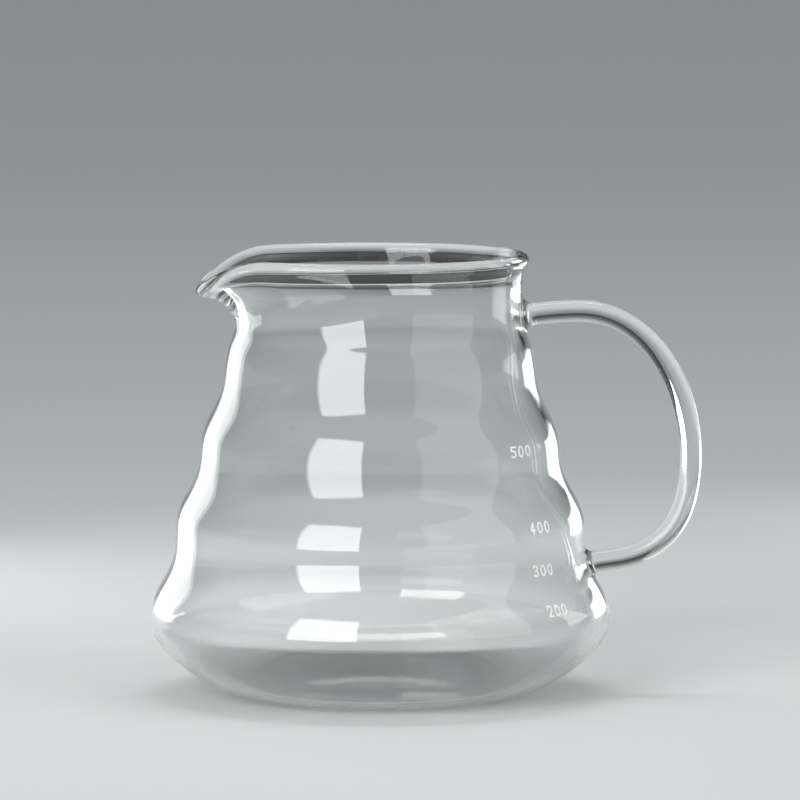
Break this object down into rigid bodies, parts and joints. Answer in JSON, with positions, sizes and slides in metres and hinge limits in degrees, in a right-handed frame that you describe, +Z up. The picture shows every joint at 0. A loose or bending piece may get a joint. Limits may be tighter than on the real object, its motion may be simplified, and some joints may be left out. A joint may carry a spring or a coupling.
{
  "type": "glass coffee server",
  "caption": "Clear glass coffee server with a waved, bulging wall, a pulled spout, a fused glass rod handle and a printed volume scale, for catching and pouring filter coffee.",
  "frame": {"origin": "centre of the flat foot that the server stands on", "axes": "+Z up along the body's axis, +X towards the handle, -X towards the spout, -Y towards the viewer of the picture"},
  "size_m": [0.1416, 0.118, 0.1132],
  "materials": {
    "clear_glass": "fire-polished clear borosilicate glass",
    "white_enamel": "fired white enamel print"
  },
  "bodies": {
    "root": {"glass_body": "clear_glass", "glass_handle": "clear_glass", "print_500_1": "white_enamel", "print_500_2": "white_enamel", "print_500_3": "white_enamel", "print_400_1": "white_enamel", "print_400_2": "white_enamel", "print_400_3": "white_enamel", "print_300_1": "white_enamel", "print_300_2": "white_enamel", "print_300_3": "white_enamel", "print_200_1": "white_enamel", "print_200_2": "white_enamel", "print_200_3": "white_enamel"}
  },
  "joints": []
}
